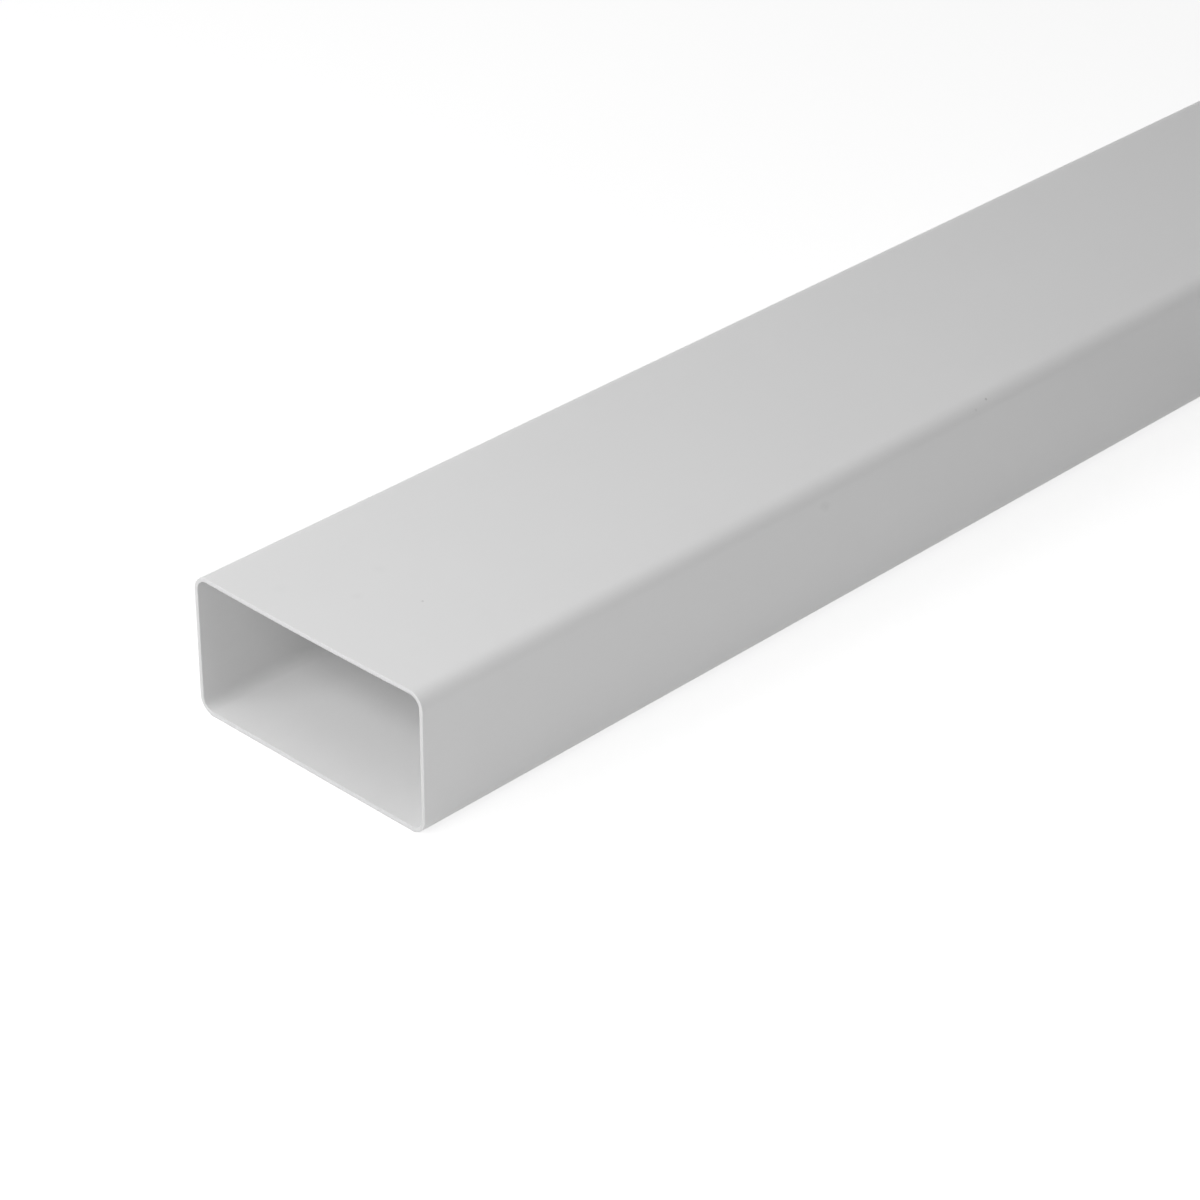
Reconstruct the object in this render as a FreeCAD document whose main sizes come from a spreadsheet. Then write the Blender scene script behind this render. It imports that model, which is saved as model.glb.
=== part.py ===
# Flat channel duct: one length of rigid plastic channel, a closed tube sawn square at both ends.
# The length lies along X, the narrow walls face +Y and -Y, and the bottom wall rests on Z = 0.
import FreeCAD, Part
import math
import os
import Sketcher

doc = FreeCAD.newDocument("flat_channel_duct")


# Driving dimensions, in millimetres
driving_sizes = [
    ("duct_length", 1000, "from sawn end to sawn end"),
    ("outer_width", 110, "outside, across the two narrow walls"),
    ("outer_height", 54, "outside, from the bottom wall to the crests of the top corners"),
    ("wall_thickness", 1.5, "the same all round the section"),
    ("corner_radius", 6, "outside, on all four long corners"),
    ("top_dip", 0.5, "how far the middle of the top wall sinks below the crests beside it"),
]
sheet = doc.addObject("Spreadsheet::Sheet", "sizes")
for row, (alias, millimetres, meaning) in enumerate(driving_sizes, start=1):
    sheet.set("A%d" % row, meaning)
    sheet.set("B%d" % row, str(millimetres))
    sheet.setAlias("B%d" % row, alias)
doc.recompute()


# Pieces of one closed loop of the section, in the order in which they are drawn
BOTTOM, BOTTOM_RIGHT, RIGHT, TOP_RIGHT, TOP, TOP_LEFT, LEFT, BOTTOM_LEFT = range(8)
CORNERS = (BOTTOM_RIGHT, TOP_RIGHT, TOP_LEFT, BOTTOM_LEFT)

# Points of a piece, and the sketch's own axes, as constraints number them
START, END, CENTRE = range(1, 4)
LEVEL_AXIS, UPRIGHT_AXIS = range(-1, -3, -1)
ORIGIN = (LEVEL_AXIS, START)

# Where each piece of a loop meets the next without a kink; the top arc is drawn from left to right
MEETINGS = (
    (BOTTOM, END, BOTTOM_RIGHT, START),
    (BOTTOM_RIGHT, END, RIGHT, START),
    (RIGHT, END, TOP_RIGHT, START),
    (TOP_RIGHT, END, TOP, END),
    (TOP, START, TOP_LEFT, START),
    (TOP_LEFT, END, LEFT, START),
    (LEFT, END, BOTTOM_LEFT, START),
    (BOTTOM_LEFT, END, BOTTOM, START),
)


def point(across, up):
    return FreeCAD.Vector(across, up, 0)


def line(start, end):
    return Part.LineSegment(start, end)


def arc(centre, radius, first_angle, last_angle):
    out_of_sketch = FreeCAD.Vector(0, 0, 1)
    return Part.ArcOfCircle(Part.Circle(centre, out_of_sketch, radius), first_angle, last_angle)


def draw_loop(sketch, inset):
    """Draws the section's outline, set in from the outside by inset, and returns its first piece's number."""
    side = sheet.outer_width / 2 - inset
    low = inset
    high = sheet.outer_height - inset
    radius = sheet.corner_radius - inset
    reach = side - radius
    # The top arc curves about a point high above the duct and touches both top corners,
    # so its centre lies this far from theirs.
    spread = (reach**2 + sheet.top_dip**2) / (2 * sheet.top_dip)
    lean = math.asin(reach / spread)
    top_centre = point(0, high - radius + spread - sheet.top_dip)
    quarter = math.pi / 2
    pieces = [
        line(point(-reach, low), point(reach, low)),
        arc(point(reach, low + radius), radius, -quarter, 0),
        line(point(side, low + radius), point(side, high - radius)),
        arc(point(reach, high - radius), radius, 0, quarter + lean),
        arc(top_centre, spread - radius, -quarter - lean, -quarter + lean),
        arc(point(-reach, high - radius), radius, quarter - lean, 2 * quarter),
        line(point(-side, high - radius), point(-side, low + radius)),
        arc(point(-reach, low + radius), radius, 2 * quarter, 3 * quarter),
    ]
    first = sketch.addGeometry(pieces, False)[0]
    for piece, piece_end, following, following_end in MEETINGS:
        sketch.addConstraint(
            Sketcher.Constraint("Tangent", first + piece, piece_end, first + following, following_end)
        )
    for corner in CORNERS[1:]:
        sketch.addConstraint(Sketcher.Constraint("Equal", first + CORNERS[0], first + corner))
    return first


def bind(sketch, name, formula, kind, *places_and_size):
    """Adds a named dimension to the sketch and ties its size to the sheet."""
    number = sketch.addConstraint(Sketcher.Constraint(kind, *places_and_size))
    sketch.renameConstraint(number, name)
    sketch.setExpression("Constraints." + name, formula)


def mark_middle(sketch, first, up):
    """Puts a point on the middle of a loop's top arc and returns its number."""
    mark = sketch.addGeometry(Part.Point(point(0, up)), True)
    sketch.addConstraint(Sketcher.Constraint("PointOnObject", mark, START, UPRIGHT_AXIS))
    sketch.addConstraint(Sketcher.Constraint("PointOnObject", mark, START, first + TOP))
    return mark


# The duct: its section drawn across the length, then extruded half to each side
duct = doc.addObject("PartDesign::Body", "duct")
duct.Label = "flat_channel_duct"
cross_plane = [plane for plane in duct.Origin.OriginFeatures if plane.Role == "YZ_Plane"][0]

section = duct.newObject("Sketcher::SketchObject", "section")
section.AttachmentSupport = [(cross_plane, "")]
section.MapMode = "FlatFace"

# Outside of the wall: it stands on the level axis, alike to left and right
outside = draw_loop(section, 0)
section.addConstraint([
    Sketcher.Constraint("PointOnObject", outside + BOTTOM, START, LEVEL_AXIS),
    Sketcher.Constraint("Symmetric", outside + BOTTOM, START, outside + BOTTOM, END, UPRIGHT_AXIS),
    Sketcher.Constraint("Vertical", outside + RIGHT),
    Sketcher.Constraint("Vertical", outside + LEFT),
    Sketcher.Constraint("Horizontal", outside + TOP_LEFT, CENTRE, outside + TOP_RIGHT, CENTRE),
])
bind(section, "outer_width", "sizes.outer_width",
     "DistanceX", outside + LEFT, START, outside + RIGHT, END, sheet.outer_width)
bind(section, "outer_corner", "sizes.corner_radius",
     "Radius", outside + BOTTOM_RIGHT, sheet.corner_radius)
bind(section, "top_corner_centre", "sizes.outer_height - sizes.corner_radius",
     "DistanceY", *ORIGIN, outside + TOP_RIGHT, CENTRE, sheet.outer_height - sheet.corner_radius)
outside_middle = mark_middle(section, outside, sheet.outer_height - sheet.top_dip)
bind(section, "top_middle", "sizes.outer_height - sizes.top_dip",
     "DistanceY", *ORIGIN, outside_middle, START, sheet.outer_height - sheet.top_dip)

# Inside of the wall: the same corners and the same dip, one wall thickness further in
inside = draw_loop(section, sheet.wall_thickness)
for corner in CORNERS:
    section.addConstraint(
        Sketcher.Constraint("Coincident", inside + corner, CENTRE, outside + corner, CENTRE)
    )
bind(section, "inner_corner", "sizes.corner_radius - sizes.wall_thickness",
     "Radius", inside + BOTTOM_RIGHT, sheet.corner_radius - sheet.wall_thickness)
inside_middle = mark_middle(section, inside, sheet.outer_height - sheet.top_dip - sheet.wall_thickness)
bind(section, "top_wall", "sizes.wall_thickness",
     "DistanceY", inside_middle, START, outside_middle, START, sheet.wall_thickness)

extrusion = duct.newObject("PartDesign::Pad", "extrusion")
extrusion.Profile = section
extrusion.SideType = "Symmetric"
extrusion.setExpression("Length", "sizes.duct_length")
doc.recompute()


# Every object has to be sound before the solid is written
failed = [thing.Name for thing in doc.Objects if "Invalid" in thing.State or "Error" in thing.State]
if failed:
    raise RuntimeError("not built: " + ", ".join(failed))
if not section.FullyConstrained:
    raise RuntimeError("the section is not fully dimensioned")
if duct.Shape.isNull() or not duct.Shape.isValid():
    raise RuntimeError("the duct is not a sound solid")

os.makedirs("parts", exist_ok=True)
duct.Shape.exportStep(os.path.join("parts", duct.Label + ".step"))
box = duct.Shape.BoundBox
print(duct.Label, "solids:", len(duct.Shape.Solids))
print("length %.1f, width %.1f, height %.2f mm" % (box.XLength, box.YLength, box.ZLength))
print("volume %.1f cubic centimetres" % (duct.Shape.Volume / 1000))
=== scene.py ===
# %% [markdown]
# # A length of flat channel duct
#
# The object is a piece of ventilation duct: a flat rectangular tube of white rigid plastic, pushed
# out of a die in one endless run and sawn into lengths. It has no seam, no lid and no fittings, so
# everything that makes it look real is small: the soft round of its corners, the shallow dip of its
# top wall, the thin pale rim that the saw leaves, and the calm satin of extruded plastic. The
# lesson follows that order: frame, sizes, wall, finish, studio, camera.

# %% Load the measured frame
import math

import bpy
from mathutils import Matrix, Vector


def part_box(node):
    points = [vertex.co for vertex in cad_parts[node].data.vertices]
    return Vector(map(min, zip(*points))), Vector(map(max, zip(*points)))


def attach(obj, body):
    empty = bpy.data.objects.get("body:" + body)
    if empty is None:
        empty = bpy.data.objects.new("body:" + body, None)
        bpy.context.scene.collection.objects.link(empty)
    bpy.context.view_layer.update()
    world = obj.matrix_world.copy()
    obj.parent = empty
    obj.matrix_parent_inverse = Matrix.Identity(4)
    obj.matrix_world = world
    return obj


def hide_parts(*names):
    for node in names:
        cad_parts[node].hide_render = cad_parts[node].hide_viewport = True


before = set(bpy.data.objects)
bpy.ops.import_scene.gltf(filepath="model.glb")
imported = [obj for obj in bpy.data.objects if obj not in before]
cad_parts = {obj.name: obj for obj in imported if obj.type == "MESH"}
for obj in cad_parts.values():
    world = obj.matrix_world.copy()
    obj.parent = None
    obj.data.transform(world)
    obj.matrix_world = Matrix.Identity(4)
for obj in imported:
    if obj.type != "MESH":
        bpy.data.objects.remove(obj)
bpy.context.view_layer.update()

# %% [markdown]
# ## Sizes
#
# The frame says how long, wide and high the duct is, so those three are read from it and never
# typed again. The wall, the corner radius and the dip can't be read off a box, so they are named
# here, in metres, as the solid has them.

# %% Sizes of the duct
low_corner, high_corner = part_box("flat_channel_duct")
duct_length, duct_width, duct_height = high_corner - low_corner
mouth_foot = Vector((low_corner.x, 0.0, 0.0))

millimetre = 0.001
wall_thickness = 1.5 * millimetre
corner_radius = 6.0 * millimetre
top_dip = 0.5 * millimetre
print("duct %.3f x %.3f x %.3f m" % (duct_length, duct_width, duct_height))

# %% [markdown]
# ## Drawing with nodes
#
# Blender's shapes and finishes are both drawn as node trees. Adding a node, setting its options and
# feeding its sockets takes three kinds of call, so one helper does all three. Whatever is fed is
# either a plain value, which is typed into the socket, or another node's output, which is linked to
# it.

# %% A helper that puts a node into a tree
def put(tree, kind, feeds=None, **settings):
    """Adds a node to a tree, sets its options, and feeds its sockets with values or outputs."""
    made = tree.nodes.new(kind)
    for option, choice in settings.items():
        setattr(made, option, choice)
    for socket, feed in (feeds or {}).items():
        if isinstance(feed, Number):
            feed = feed.socket
        if isinstance(feed, bpy.types.NodeSocket):
            tree.links.new(feed, made.inputs[socket])
        else:
            made.inputs[socket].default_value = feed
    return made


print("helper ready: put")

# %% [markdown]
# Sums are the dull part of a node tree, because every plus and minus is a node of its own. The
# small class below lets a sum be written as a sum, and adds the nodes behind the scenes. Its last
# method is a soft step, which serves wherever something fades in or out.

# %% Numbers that a tree works out
class Number:
    """A number that a node tree works out. Reckoning with it adds nodes to the tree."""

    def __init__(self, tree, socket):
        self.tree = tree
        self.socket = socket

    def reckon(self, operation, *others):
        terms = dict(enumerate((self, *others)))
        answer = put(self.tree, "ShaderNodeMath", terms, operation=operation).outputs[0]
        return Number(self.tree, answer)

    def __add__(self, other):
        return self.reckon("ADD", other)

    def __sub__(self, other):
        return self.reckon("SUBTRACT", other)

    def __rsub__(self, other):
        return self.reckon("MULTIPLY", -1.0).reckon("ADD", other)

    def __mul__(self, other):
        return self.reckon("MULTIPLY", other)

    def __truediv__(self, other):
        return self.reckon("DIVIDE", other)

    def __pow__(self, other):
        return self.reckon("POWER", other)

    def __abs__(self):
        return self.reckon("ABSOLUTE")

    def eased(self, start, end, low=0.0, high=1.0):
        """Turns a number that runs from start to end into one that goes softly from low to high."""
        feeds = {"Value": self, "From Min": start, "From Max": end, "To Min": low, "To Max": high}
        step = put(self.tree, "ShaderNodeMapRange", feeds, interpolation_type="SMOOTHSTEP")
        return Number(self.tree, step.outputs["Result"])


print("class ready: Number")

# %% [markdown]
# A few more helpers serve both kinds of tree. Anything that looks like chance, a burr or a cloud in
# the plastic, comes from noise with a fixed seed, so it is the same on every run. A position is most
# useful as its three separate numbers, and can be built from them again. Two positions are reckoned
# with as a whole, for the way or the distance from one to the other.

# %% Noise with a seed, and positions
def noise(tree, place, scale, detail, seed):
    """Soft random values between 0 and 1; a larger scale makes finer grain."""
    feeds = {"Vector": place, "W": seed, "Scale": scale, "Detail": detail}
    grain = put(tree, "ShaderNodeTexNoise", feeds, noise_dimensions="4D")
    return Number(tree, grain.outputs["Fac"])


def parts_of(tree, place):
    """The x, y and z of a position."""
    parts = put(tree, "ShaderNodeSeparateXYZ", {"Vector": place}).outputs
    return [Number(tree, part) for part in parts]


def position_of(tree, **parts):
    """A position from its X, Y and Z; a part that is left out is zero."""
    return put(tree, "ShaderNodeCombineXYZ", parts).outputs["Vector"]


def reckon_positions(tree, operation, first, second):
    """Reckons with two positions. A distance or a dot product is a number, the rest are positions."""
    answer = put(tree, "ShaderNodeVectorMath", {0: first, 1: second}, operation=operation).outputs
    if operation in ("DISTANCE", "DOT_PRODUCT"):
        return Number(tree, answer["Value"])
    return answer["Vector"]


print("helpers ready: noise, parts_of, position_of and reckon_positions")

# %% [markdown]
# ## The wall, as a rule
#
# A duct could be a box with a smaller box cut out of it, but then the corners, the dip and the sawn
# edges would each need a repair of their own. An extrusion is really two lines: the closed section
# that the die has, and the long thin strip of wall that runs from saw cut to saw cut. Sweeping the
# strip once round the section gives the whole tube in one closed skin, inside, outside and both
# rims, with no caps to fit. Geometry Nodes hold that rule, with each size as a named input.

# %% A tree with named inputs
steps_along = 56
wall_sizes = {
    "Length": duct_length,
    "Width": duct_width,
    "Height": duct_height,
    "Wall": wall_thickness,
    "Corner Radius": corner_radius,
    "Top Dip": top_dip,
    "Edge Ease": 0.15 * millimetre,
    "Step Around": 0.9 * millimetre,
    "Step Along": duct_length / steps_along,
    "Burr": 0.25 * millimetre,
    "Burr Reach": 1.4 * millimetre,
    "Saw Wander": 0.12 * millimetre,
    "Saw Seed": 3.0,
}
wall_counts = {"Corner Steps": 12, "Edge Steps": 3}

wall = bpy.data.node_groups.new("extruded_wall", "GeometryNodeTree")
for kind, numbers in (("NodeSocketFloat", wall_sizes), ("NodeSocketInt", wall_counts)):
    for name, value in numbers.items():
        socket = wall.interface.new_socket(name, in_out="INPUT", socket_type=kind)
        socket.default_value = value
wall.interface.new_socket("Finish", in_out="INPUT", socket_type="NodeSocketMaterial")
wall.interface.new_socket("Geometry", in_out="OUTPUT", socket_type="NodeSocketGeometry")
wall_inputs = wall.nodes.new("NodeGroupInput").outputs
given = {name: Number(wall, wall_inputs[name]) for name in (*wall_sizes, *wall_counts)}
print("the wall's rule takes", len(given), "numbers and a finish")

# %% [markdown]
# The two lines are alike: each is a rectangle whose corners are rounded and whose long runs are
# then cut into short steps, so that there are points to bend. The rounding makes its own short
# steps, and those are left alone: a run is cut only as often as the step fits into it.

# %% A rounded rectangle with its long runs divided
def position():
    """The place of each point that the wall's rule is working on."""
    return wall.nodes.new("GeometryNodeInputPosition").outputs["Position"]


def rounded_loop(width, height, radius, rounding_steps, step):
    """A closed rectangle in its own plane, with round corners and points along its straight runs."""
    loop = put(wall, "GeometryNodeCurvePrimitiveQuadrilateral", {"Width": width, "Height": height})
    rounding = {"Curve": loop.outputs["Curve"], "Count": rounding_steps, "Radius": radius}
    rounded = put(wall, "GeometryNodeFilletCurve", rounding, mode="POLY").outputs["Curve"]
    here = position()
    next_point = put(wall, "GeometryNodeOffsetPointInCurve", {"Offset": 1}).outputs["Point Index"]
    reading = {"Value": here, "Index": next_point}
    ahead = put(wall, "GeometryNodeFieldAtIndex", reading, data_type="FLOAT_VECTOR")
    there = ahead.outputs["Value"]
    run = reckon_positions(wall, "DISTANCE", here, there)
    cuts = (run / step).reckon("FLOOR")
    divided = put(wall, "GeometryNodeSubdivideCurve", {"Curve": rounded, "Cuts": cuts})
    return divided.outputs["Curve"]


print("rounded loops ready")

# %% [markdown]
# The section runs along the middle of the wall, half a wall in from the outside. As the plastic
# cools, the wide top wall sinks a little between its corners. That dip is a shallow curve, deepest
# in the middle and gone where the corners start, and it is the reason why the mouth's upper edge
# isn't quite a straight line.

# %% The die's section
drawn_section = rounded_loop(
    given["Width"] - given["Wall"],
    given["Height"] - given["Wall"],
    given["Corner Radius"] - given["Wall"] * 0.5,
    given["Corner Steps"],
    given["Step Around"],
)
across, up = parts_of(wall, position())[:2]
flat_half = given["Width"] * 0.5 - given["Corner Radius"]
dip_share = (1.0 - (abs(across) / flat_half) ** 2.0).reckon("MAXIMUM", 0.0)
sink = position_of(wall, Y=dip_share * given["Top Dip"] * -1.0)
dipped = put(wall, "GeometryNodeSetPosition", {
    "Geometry": drawn_section,
    "Selection": up.reckon("GREATER_THAN", 0.0),
    "Offset": sink,
}).outputs["Geometry"]
print("section: a rounded rectangle with a dip in its top")

# %% [markdown]
# The drawing lies flat, so it is stood up across the length and lifted until its bottom wall rests
# on the floor. The curve's normal is pinned to the length, so that a strip swept round it never
# twists.

# %% The section stood up
quarter_turn = math.pi / 2
lift = position_of(wall, Z=given["Height"] * 0.5)
standing = put(wall, "GeometryNodeTransform", {
    "Geometry": dipped,
    "Translation": lift,
    "Rotation": (quarter_turn, 0.0, quarter_turn),
}).outputs["Geometry"]
lengthways = (1.0, 0.0, 0.0)
pinned = {"Curve": standing, "Normal": lengthways}
section_path = put(wall, "GeometryNodeSetCurveNormal", pinned, mode="FREE")
print("section stands across the length")

# %% [markdown]
# The strip is as long as the duct and as thick as its wall, with the four edges just eased, as a
# fine saw and a quick wipe leave them. Its points are drawn towards the two ends by a cubic rule.
# The middle of a duct is straight and needs few points, while the last millimetres carry the burrs.

# %% The strip of wall from saw cut to saw cut
drawn_strip = rounded_loop(
    given["Length"],
    given["Wall"],
    given["Edge Ease"],
    given["Edge Steps"],
    given["Step Along"],
)
along, through = parts_of(wall, position())[:2]
straight_half = given["Length"] * 0.5 - given["Edge Ease"]
share_along = (abs(along) / straight_half).reckon("MINIMUM", 1.0)
gathered = 1.0 - (1.0 - share_along) ** 3.0
past_straight = (abs(along) - straight_half).reckon("MAXIMUM", 0.0)
new_along = (straight_half * gathered + past_straight) * along.reckon("SIGN")
wall_strip = put(wall, "GeometryNodeSetPosition", {
    "Geometry": drawn_strip,
    "Position": position_of(wall, X=new_along, Y=through),
})
print("strip: points gathered towards both ends")

# %% [markdown]
# Sweeping the strip round the section makes the tube. A saw doesn't leave a perfect end: the
# plastic smears into a thin ragged burr on the inside, where the blade leaves the wall. The burr is
# made of moved points, because a rim is seen edge on, where a painted bump would show nothing. It
# is pushed into the airway only, so the outside keeps its size, and it needs to know which way is
# out: away from the duct's middle line.

# %% The sweep and its burr
swept = put(wall, "GeometryNodeCurveToMesh", {
    "Curve": section_path.outputs["Curve"],
    "Profile Curve": wall_strip.outputs["Geometry"],
}).outputs["Mesh"]
place = position()
facing = wall.nodes.new("GeometryNodeInputNormal").outputs["Normal"]
lengthwise = parts_of(wall, place)[0]
from_end = given["Length"] * 0.5 - abs(lengthwise)
near_cut = from_end.eased(given["Burr Reach"], 0.0)

middle_line = position_of(wall, X=lengthwise, Z=given["Height"] * 0.5)
outwards = reckon_positions(wall, "SUBTRACT", place, middle_line)
inside = reckon_positions(wall, "DOT_PRODUCT", facing, outwards).reckon("LESS_THAN", 0.0)

burr_grain = 640.0
smooth_below, lumpy_above = 0.5, 0.78
raggedness = noise(wall, place, burr_grain, detail=2.0, seed=given["Saw Seed"])
lumps = raggedness.eased(smooth_below, lumpy_above)
burr = lumps * near_cut * inside * given["Burr"]
square_to_length = (0.0, 1.0, 1.0)
facing_inwards = reckon_positions(wall, "MULTIPLY", facing, square_to_length)
burr_feeds = {0: facing_inwards, "Scale": burr}
burr_offset = put(wall, "ShaderNodeVectorMath", burr_feeds, operation="SCALE").outputs["Vector"]
print("sweep: one closed skin, with a burr inside each mouth")

# %% [markdown]
# The cut isn't a perfect plane either. It wanders by a tenth of a millimetre, always inwards, so
# that the duct is nowhere longer than it was measured. Then the rule writes down which faces the
# saw made, as an attribute called sawn. It is 1 on the two rims and fades out over the eased edges,
# and the finish will ask for it.

# %% The saw's wander, and the marked rims
wander_grain = 24.0
drift = noise(wall, place, wander_grain, detail=3.0, seed=given["Saw Seed"])
pull_in = drift * near_cut * given["Saw Wander"] * lengthwise.reckon("SIGN") * -1.0
saw_offset = reckon_positions(wall, "ADD", burr_offset, position_of(wall, X=pull_in))
sawn_tube = put(wall, "GeometryNodeSetPosition", {"Geometry": swept, "Offset": saw_offset})

end_on = abs(parts_of(wall, facing)[0])
rim_reach = 3.0 * millimetre
skin_tilt, rim_tilt = 0.3, 0.8
marked = put(wall, "GeometryNodeStoreNamedAttribute", data_type="FLOAT", domain="POINT", feeds={
    "Geometry": sawn_tube.outputs["Geometry"],
    "Name": "sawn",
    "Value": end_on.eased(skin_tilt, rim_tilt) * from_end.eased(rim_reach, 0.0),
})
print("rims: wandering cuts, marked as sawn")

# %% [markdown]
# The tree ends as such trees should: smooth shading, real geometry, and a material of its own.

# %% Close the tree
smooth = put(wall, "GeometryNodeSetShadeSmooth", {"Geometry": marked.outputs["Geometry"]})
real = put(wall, "GeometryNodeRealizeInstances", {"Geometry": smooth.outputs["Geometry"]})
coated = put(wall, "GeometryNodeSetMaterial", {
    "Geometry": real.outputs["Geometry"],
    "Material": wall_inputs["Finish"],
})
put(wall, "NodeGroupOutput", {"Geometry": coated.outputs["Geometry"]})
print("the wall's rule has", len(wall.nodes), "nodes")

# %% [markdown]
# ## The finish: white rigid plastic
#
# Extruded plastic is not one flat colour. The die draws hair lines along the whole length, and the
# white has faint clouds from uneven mixing. Both are weak here: a pattern that can be seen from a
# step away would be wrong. The lines come from noise that is squeezed across the duct and hardly
# changes along it.

# %% Die lines and clouds
plastic = bpy.data.materials.new("white_extruded_plastic")
plastic.use_nodes = True
finish = plastic.node_tree
finish.nodes.clear()
spot = put(finish, "ShaderNodeTexCoord").outputs["Object"]
finish_seed = 5.0

squeeze = (1.5, 900.0, 900.0)
drawn_out = put(finish, "ShaderNodeMapping", {"Vector": spot, "Scale": squeeze}).outputs["Vector"]
die_lines = noise(finish, drawn_out, scale=1.0, detail=1.0, seed=finish_seed)
cloud_grain = 26.0
clouds = noise(finish, spot, cloud_grain, detail=2.0, seed=finish_seed)
sawn = Number(finish, put(finish, "ShaderNodeAttribute", attribute_name="sawn").outputs["Fac"])
print("grain of the plastic: die lines, clouds and sawn rims")

# %% [markdown]
# Handling leaves its own marks. A few soft grey spots and dark specks lie on the top and on the
# near side, each placed by how far it is from the near end, across the duct and up. A mark is a
# small ball of grey around its place: where the ball meets the surface, the white is a little
# darker.

# %% Marks of handling
handling_marks = [
    # millimetres from the near end, across and up, then the radius and the strength of the grey
    (193.2, -55.0, 45.6, 2.8, 0.14),
    (194.8, -55.0, 44.4, 2.8, 0.14),
    (13.9, 27.1, 53.6, 3.8, 0.04),
    (28.5, 5.8, 53.5, 3.2, 0.06),
    (45.9, 13.3, 53.5, 3.4, 0.05),
    (41.4, -12.0, 53.5, 0.7, 0.70),
    (284.7, -53.1, 52.4, 0.8, 0.85),
    (277.7, -54.2, 51.0, 0.9, 0.35),
]
grime = None
for from_near_end, across_duct, up_duct, radius, strength in handling_marks:
    centre = mouth_foot + Vector((from_near_end, across_duct, up_duct)) * millimetre
    away = reckon_positions(finish, "DISTANCE", spot, centre)
    mark = away.eased(radius * millimetre, 0.0, 0.0, strength)
    grime = mark if grime is None else grime.reckon("MAXIMUM", mark)
print("marks of handling:", len(handling_marks))

# %% [markdown]
# The colour is put together in layers: white with its clouds, a darker white on the sawn rims,
# which is painted shade that holds down the light they catch, and grey where the duct was handled.

# %% Colour
def grey(level):
    """A neutral colour."""
    return (level, level, level, 1.0)


def blend(factor, first, second):
    """Goes from one colour to another."""
    first_socket, second_socket, colour_socket = 6, 7, 2
    feeds = {"Factor": factor, first_socket: first, second_socket: second}
    return put(finish, "ShaderNodeMix", feeds, data_type="RGBA").outputs[colour_socket]


cloud_share, line_share = 0.7, 0.3
dull_white, clean_white = grey(0.875), grey(0.905)
# The darker white for the sawn rims is painted shade that holds down the light the rims catch.
painted_rim_shade, handled_grey = grey(0.80), grey(0.55)
clouded = blend(clouds * cloud_share + die_lines * line_share, dull_white, clean_white)
rimmed = blend(sawn, clouded, painted_rim_shade)
soiled = blend(grime, rimmed, handled_grey)
print("colour: clouded white, duller rims, grey marks")

# %% [markdown]
# The die lines change the gloss a little more than the colour, and stand a few thousandths of a
# millimetre proud. A sawn rim is rougher than the skin and covered in fine scratches. The
# refraction of rigid vinyl is the same all over, so it is typed straight into the shader.

# %% Gloss and fine relief
hollow_line, proud_line = 0.25, 0.75
least_rough, most_rough, sawn_roughness = 0.40, 0.48, 0.22
satin = die_lines.eased(hollow_line, proud_line, least_rough, most_rough)
roughness = satin + sawn * sawn_roughness
scratch_grain, scratch_depth = 2600.0, 3.0
scratches = noise(finish, spot, scratch_grain, detail=0.0, seed=finish_seed) * sawn
relief = put(finish, "ShaderNodeBump", {
    "Strength": 0.35,
    "Distance": 0.02 * millimetre,
    "Height": die_lines * (1.0 - sawn) + scratches * scratch_depth,
})
vinyl_refraction = 1.53
surface = put(finish, "ShaderNodeBsdfPrincipled", {
    "Base Color": soiled,
    "Roughness": roughness,
    "IOR": vinyl_refraction,
    "Normal": relief.outputs["Normal"],
})
put(finish, "ShaderNodeOutputMaterial", {"Surface": surface.outputs["BSDF"]})
print("finish: white rigid plastic,", len(finish.nodes), "nodes")

# %% [markdown]
# ## From rule to piece
#
# The rule is run once on an empty object, and what it makes is kept as a plain mesh. The piece
# is put under the duct's body and takes the place of the plain solid, which is hidden. Its white
# plastic comes from the rule.

# %% The duct as a mesh
def made_by(tree, name, inputs):
    """Runs a tree on an empty object and returns what it makes as a plain mesh object."""
    blank = bpy.data.objects.new(name + "_rule", bpy.data.meshes.new(name + "_rule"))
    bpy.context.scene.collection.objects.link(blank)
    modifier = blank.modifiers.new("rule", "NODES")
    modifier.node_group = tree
    for socket in tree.interface.items_tree:
        if socket.in_out == "INPUT":
            modifier[socket.identifier] = inputs[socket.name]
    evaluated = blank.evaluated_get(bpy.context.evaluated_depsgraph_get())
    mesh = bpy.data.meshes.new_from_object(evaluated)
    mesh.name = name
    bpy.data.objects.remove(blank)
    piece = bpy.data.objects.new(name, mesh)
    bpy.context.scene.collection.objects.link(piece)
    return piece


duct = made_by(wall, "duct_wall", {**wall_sizes, **wall_counts, "Finish": plastic})
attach(duct, "root")
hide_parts("flat_channel_duct")
print("duct:", len(duct.data.vertices), "points and", len(duct.data.polygons), "faces")

# %% [markdown]
# ## Studio: floor
#
# White goods on a white ground are lit softly, and the ground is kept just white, so that the
# shadow under the duct still shows. The floor is therefore two things. Soft light that bounces off
# it meets a plain pale paint. The camera and the glossy reflections see a paint with some glow of
# its own, which brings the lit floor up to white without another lamp on the duct. The lamps will
# stand by the mouth, so the glow grows with the distance from it, where they reach less. It fades
# in the narrow gap under the duct's rounded edge, or the line where the duct touches the floor
# would shine.

# %% Floor
def seen_directly(tree):
    """Is 1 for rays that show a thing, straight, mirrored or through glass, and 0 for soft light."""
    path = tree.nodes.new("ShaderNodeLightPath").outputs
    mirrored = Number(tree, path["Is Glossy Ray"]).reckon("MAXIMUM", path["Is Transmission Ray"])
    return mirrored.reckon("MAXIMUM", path["Is Camera Ray"])


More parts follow.
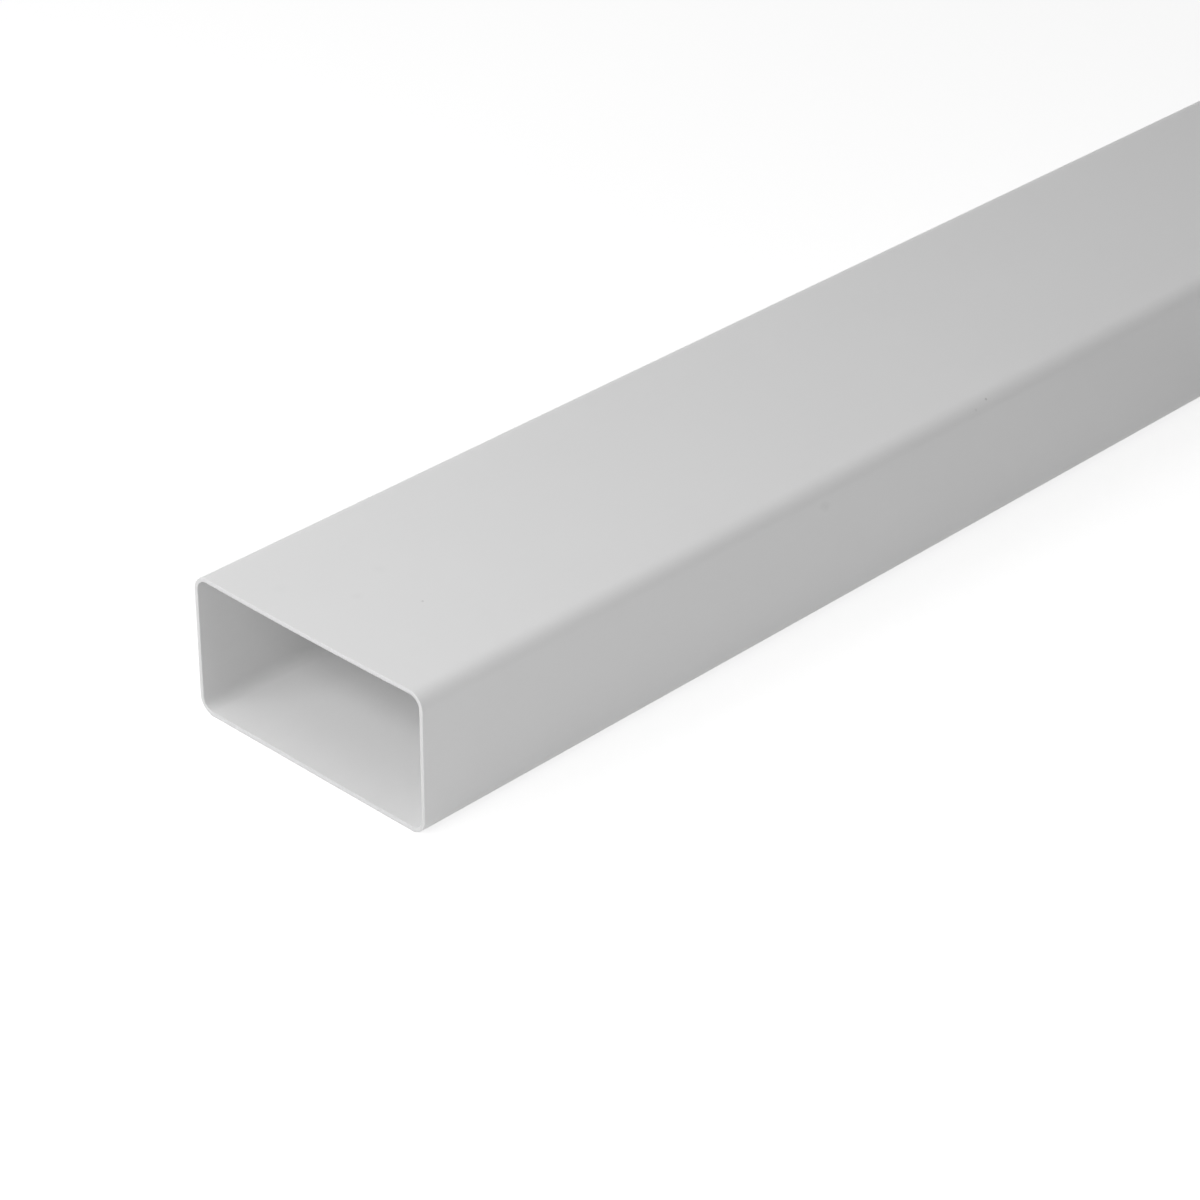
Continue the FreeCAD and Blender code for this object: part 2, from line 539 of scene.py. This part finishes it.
floor_paint = bpy.data.materials.new("pale_floor")
floor_paint.use_nodes = True
paint = floor_paint.node_tree
paint.nodes.clear()
bounce = put(paint, "ShaderNodeBsdfDiffuse", {"Color": grey(0.8)})
shadowed = put(paint, "ShaderNodeBsdfDiffuse", {"Color": grey(0.45)})
gap_height = 0.3 * millimetre
gap = put(paint, "ShaderNodeAmbientOcclusion", {"Distance": gap_height}, samples=4)
openness = Number(paint, gap.outputs["AO"])
floor_spot = put(paint, "ShaderNodeTexCoord").outputs["Object"]
from_lamps = reckon_positions(paint, "DISTANCE", floor_spot, mouth_foot)
well_lit, dimly_lit = 0.7, 2.0
glow_near, glow_far = 0.76, 0.93
glow_level = from_lamps.eased(well_lit, dimly_lit, glow_near, glow_far)
glow = put(paint, "ShaderNodeEmission", {"Strength": glow_level * openness})
shown = put(paint, "ShaderNodeAddShader", {0: shadowed.outputs[0], 1: glow.outputs[0]})
sides = {0: seen_directly(paint), 1: bounce.outputs[0], 2: shown.outputs[0]}
choice = put(paint, "ShaderNodeMixShader", sides)
put(paint, "ShaderNodeOutputMaterial", {"Surface": choice.outputs[0]})

floor_half = 4.0
floor_level = -0.05 * millimetre
floor_mesh = bpy.data.meshes.new("floor")
corner_signs = ((-1, -1), (1, -1), (1, 1), (-1, 1))
floor_corners = [(x * floor_half, y * floor_half, floor_level) for x, y in corner_signs]
floor_mesh.from_pydata(floor_corners, [], [(0, 1, 2, 3)])
floor_mesh.materials.append(floor_paint)
floor = bpy.data.objects.new("floor", floor_mesh)
bpy.context.scene.collection.objects.link(floor)
print("floor: %.0f m wide, just under the duct" % (2 * floor_half))

# %% [markdown]
# ## Studio: room
#
# The room is an even pale grey as a light, so that no side of the duct is ever black, and plain
# white where it is seen.

# %% Room
room = bpy.data.worlds.new("studio")
bpy.context.scene.world = room
room.use_nodes = True
sky = room.node_tree
sky.nodes.clear()
room_fill = 0.15
white_ground = 1.0
level = put(sky, "ShaderNodeMix", {"Factor": seen_directly(sky), "A": room_fill, "B": white_ground})
ground_feeds = {"Color": grey(white_ground), "Strength": level.outputs["Result"]}
background = put(sky, "ShaderNodeBackground", ground_feeds)
put(sky, "ShaderNodeOutputWorld", {"Surface": background.outputs[0]})
print("room: fill of", room_fill)

# %% [markdown]
# ## Studio: lamps
#
# Four soft panels do the rest. The key is broad and looks into the mouth, so that the light on the
# airway's floor fades slowly with depth. A smaller share comes from the key's left, and softens the
# shadow that the right wall throws inside. A broad panel high on the left carries the top. A small
# one, low on the right, lights the near side and models the round of the long edge. All of them
# stand by the mouth, so the duct gets a little darker with distance.

# %% Lamps
def soft_panel(name, reach, turn, rise, distance, wide, tall, power):
    """Adds an unseen lamp, turned and raised about a point along the duct."""
    lamp = bpy.data.lights.new(name, "AREA")
    lamp.shape = "RECTANGLE"
    lamp.size, lamp.size_y = wide, tall
    lamp.energy = power
    panel = bpy.data.objects.new(name, lamp)
    aim = mouth_foot + Vector((reach, 0.0, duct_height / 2))
    raised = Matrix.Rotation(math.radians(-rise), 3, "Y")
    turned = Matrix.Rotation(math.radians(turn), 3, "Z")
    towards_lamp = turned @ raised @ Vector(lengthways)
    panel.location = aim + towards_lamp * distance
    panel.rotation_euler = towards_lamp.to_track_quat("Z", "Y").to_euler()
    panel.visible_camera = False
    bpy.context.scene.collection.objects.link(panel)
    return panel


panels = [
    soft_panel("key", reach=0.05, turn=185, rise=36, distance=1.3, wide=0.8, tall=0.8, power=7.93),
    soft_panel("left_key", reach=0.05, turn=150, rise=41, distance=1.3, wide=0.4, tall=0.4, power=2.55),
    soft_panel("left", reach=0.1, turn=110, rise=60, distance=1.2, wide=0.8, tall=0.8, power=3.59),
    soft_panel("right", reach=0.15, turn=270, rise=8, distance=1.2, wide=0.5, tall=0.3, power=2.04),
]
print("lamps:", ", ".join(panel.name for panel in panels))

# %% [markdown]
# ## Camera
#
# A long lens from well above and beside the mouth, as for a catalogue picture. Its place is given
# from the middle of the near end's bottom edge. It is turned about the upright, tipped down, and
# then rolled by less than half a degree.

# %% Camera
camera_data = bpy.data.cameras.new("camera")
camera_data.sensor_width = 36.0
camera_data.lens = 113.82
camera = bpy.data.objects.new("camera", camera_data)

from_mouth = Vector((-0.69215, -0.79549, 0.69688))
turn, tip, roll = (math.radians(angle) for angle in (-46.235, 30.940, 0.424))
camera.matrix_world = (
    Matrix.Translation(mouth_foot + from_mouth)
    @ Matrix.Rotation(turn, 4, "Z")
    @ Matrix.Rotation(quarter_turn - tip, 4, "X")
    @ Matrix.Rotation(roll, 4, "Z")
)
bpy.context.scene.collection.objects.link(camera)
bpy.context.scene.camera = camera
bpy.context.scene.view_settings.view_transform = "Standard"
print("camera: %.0f mm lens, %.2f m from the mouth" % (camera_data.lens, from_mouth.length))
